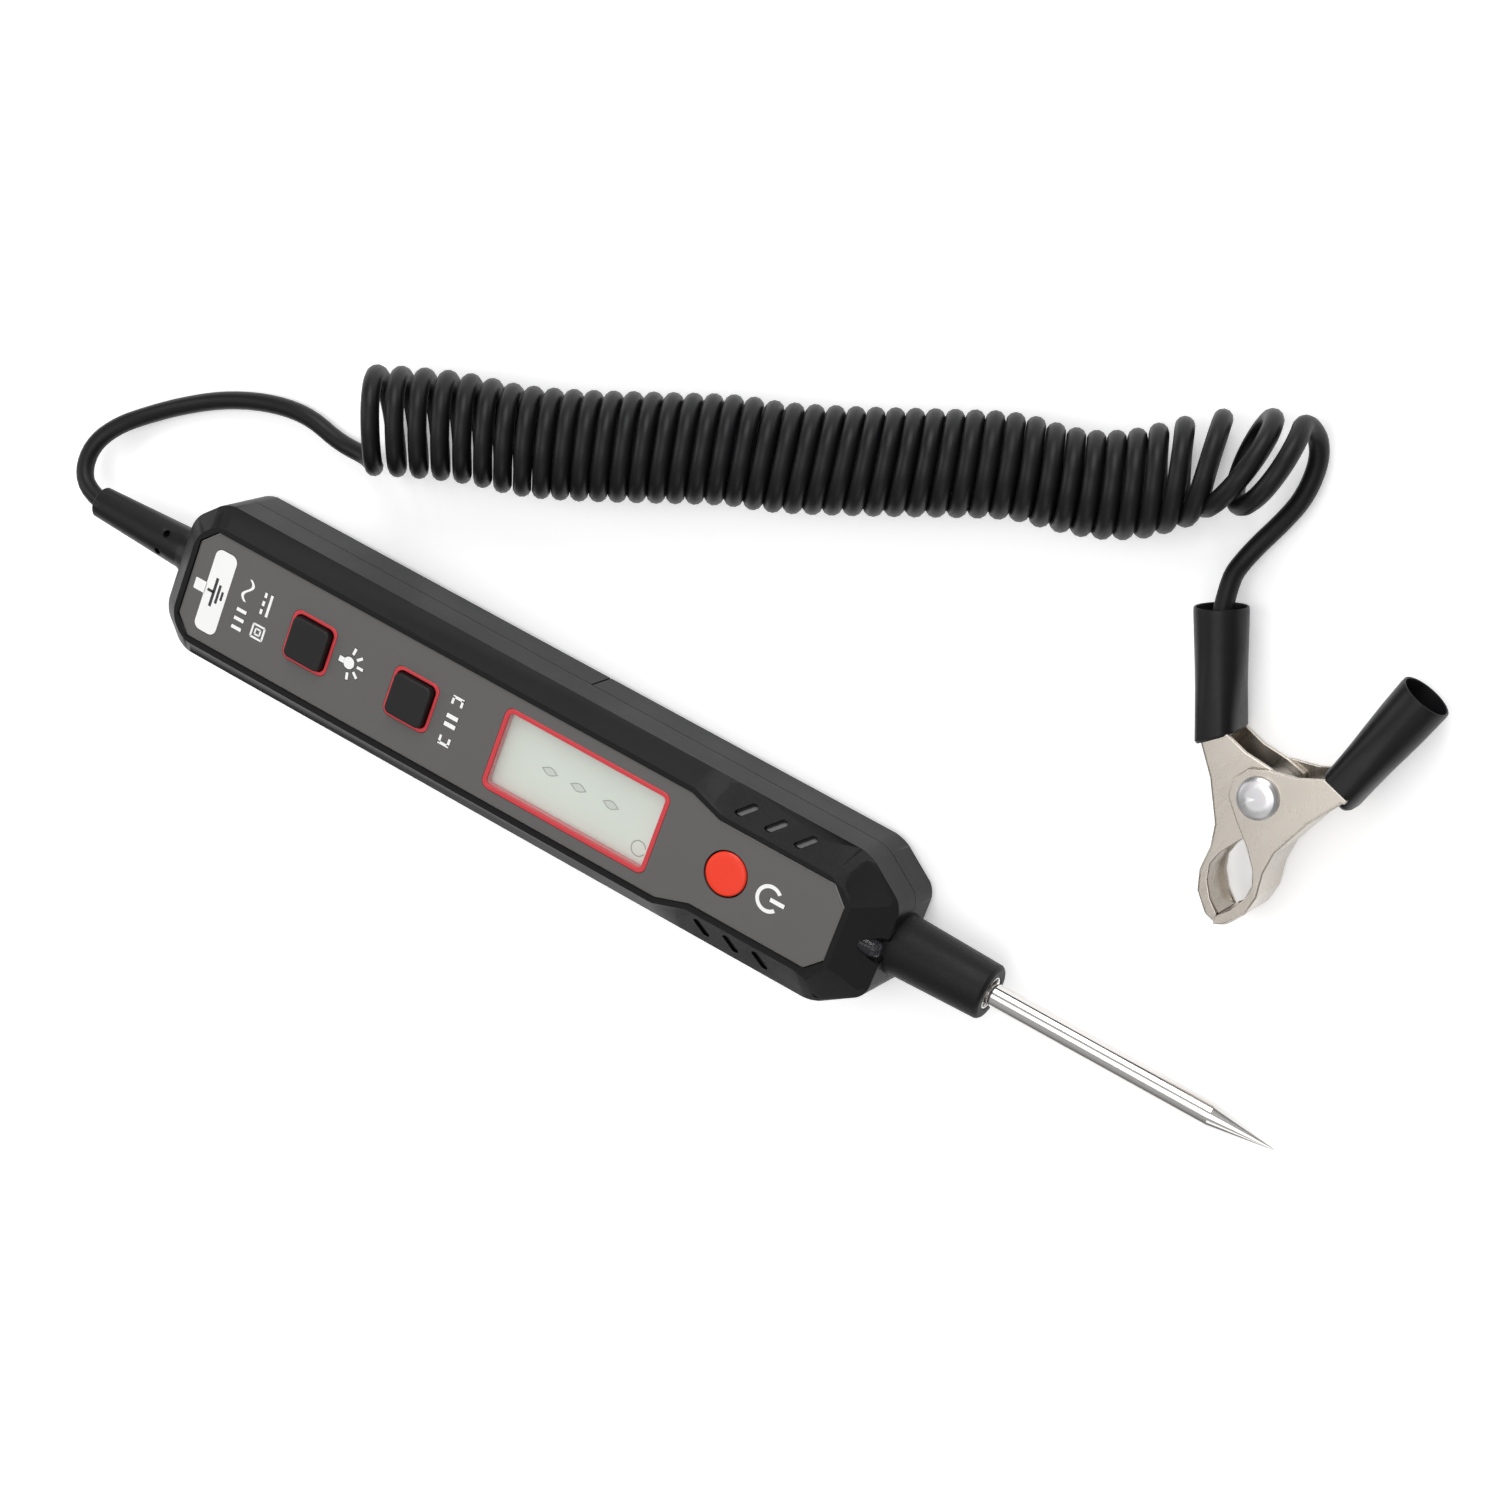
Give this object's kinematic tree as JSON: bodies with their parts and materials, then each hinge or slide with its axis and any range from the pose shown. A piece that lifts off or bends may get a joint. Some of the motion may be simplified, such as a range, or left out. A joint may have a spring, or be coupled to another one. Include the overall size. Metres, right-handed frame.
{
  "type": "circuit test light",
  "caption": "Pen-type vehicle circuit tester with display, push buttons, steel probe needle, curly ground lead and spring clip.",
  "frame": {"origin": "on the flat back face, under the pen axis, near the middle of the housing", "axes": "+X along the pen to the needle tip, +Z out of the face panel, +Y to the left seen from the cord end with the panel up"},
  "size_m": [0.2392, 0.118, 0.0192],
  "materials": {
    "black_abs": "fine moulded texture",
    "panel_grey": "satin printed face film",
    "red_trim": "satin",
    "red_key": "satin rubber key",
    "black_key": "satin",
    "clear_lens": "polished",
    "display_cell": "reflective display film",
    "white_light_guide": "satin",
    "contact_rubber": "matt",
    "board_green": "solder mask",
    "black_epoxy": "matt",
    "white_nylon": "satin",
    "cell_wrap": "gloss sleeve",
    "nickel": "satin nickel plate",
    "chrome_bright": "polished",
    "steel_screw": "black zinc",
    "needle_steel": "polished",
    "black_vinyl": "satin vinyl",
    "black_cord": "satin",
    "led_clear": "clear epoxy",
    "wire_red": "satin",
    "white_ink": "screen print",
    "spring_steel": "drawn wire"
  },
  "bodies": {
    "tester": {"front_shell": "black_abs", "back_shell": "black_abs", "battery_door": "black_abs", "housing_screws": "steel_screw", "door_screw": "steel_screw", "face_panel": "panel_grey", "display_frame": "red_trim", "display_lens": "clear_lens", "display_glass": "display_cell", "display_backlight": "white_light_guide", "contact_strips": "contact_rubber", "light_button_well": "red_trim", "hold_button_well": "red_trim", "light_switch": "black_epoxy", "hold_switch": "black_epoxy", "power_switch": "black_epoxy", "circuit_board": "board_green", "controller_chip": "black_epoxy", "board_components": "white_nylon", "battery_cell_left": "cell_wrap", "battery_cell_right": "cell_wrap", "battery_contacts": "nickel", "torch_led": "led_clear", "led_legs": "nickel", "nose_sleeve": "black_abs", "probe_socket": "chrome_bright", "probe_needle": "needle_steel", "strain_relief": "black_vinyl", "lead_tail_tester": "black_cord", "lead_coil": "black_cord", "lead_tail_clip": "black_cord", "ground_wire": "black_cord", "probe_wire": "wire_red", "clip_jaw_fixed": "nickel", "clip_rivet": "chrome_bright", "clip_spring": "spring_steel", "clip_boot_fixed": "black_vinyl", "clip_crimp": "nickel"},
    "power_key": {"power_button": "red_key", "power_plunger": "white_nylon"},
    "light_key": {"light_button": "black_key", "light_plunger": "white_nylon"},
    "hold_key": {"hold_button": "black_key", "hold_plunger": "white_nylon"},
    "clip_lever": {"clip_jaw_moving": "nickel", "clip_boot_moving": "black_vinyl"}
  },
  "joints": [
    {"name": "power_press", "type": "slide", "parent": "tester", "child": "power_key", "axis": [0, 0, -1], "range_m": [0, 0.0006], "stiffness_N_per_m": 400, "springref_m": -0.0004},
    {"name": "light_press", "type": "slide", "parent": "tester", "child": "light_key", "axis": [0, 0, -1], "range_m": [0, 0.0006], "stiffness_N_per_m": 400, "springref_m": -0.0004},
    {"name": "hold_press", "type": "slide", "parent": "tester", "child": "hold_key", "axis": [0, 0, -1], "range_m": [0, 0.0006], "stiffness_N_per_m": 400, "springref_m": -0.0004},
    {"name": "clip_squeeze", "type": "hinge", "parent": "tester", "child": "clip_lever", "pos_m": [0.1165, 0.0503, 0.0061], "axis": [0, 0, 1], "range_deg": [0, 24], "stiffness_Nm_per_rad": 0.15, "springref_deg": -34.38, "deforming": ["clip_spring"]}
  ]
}
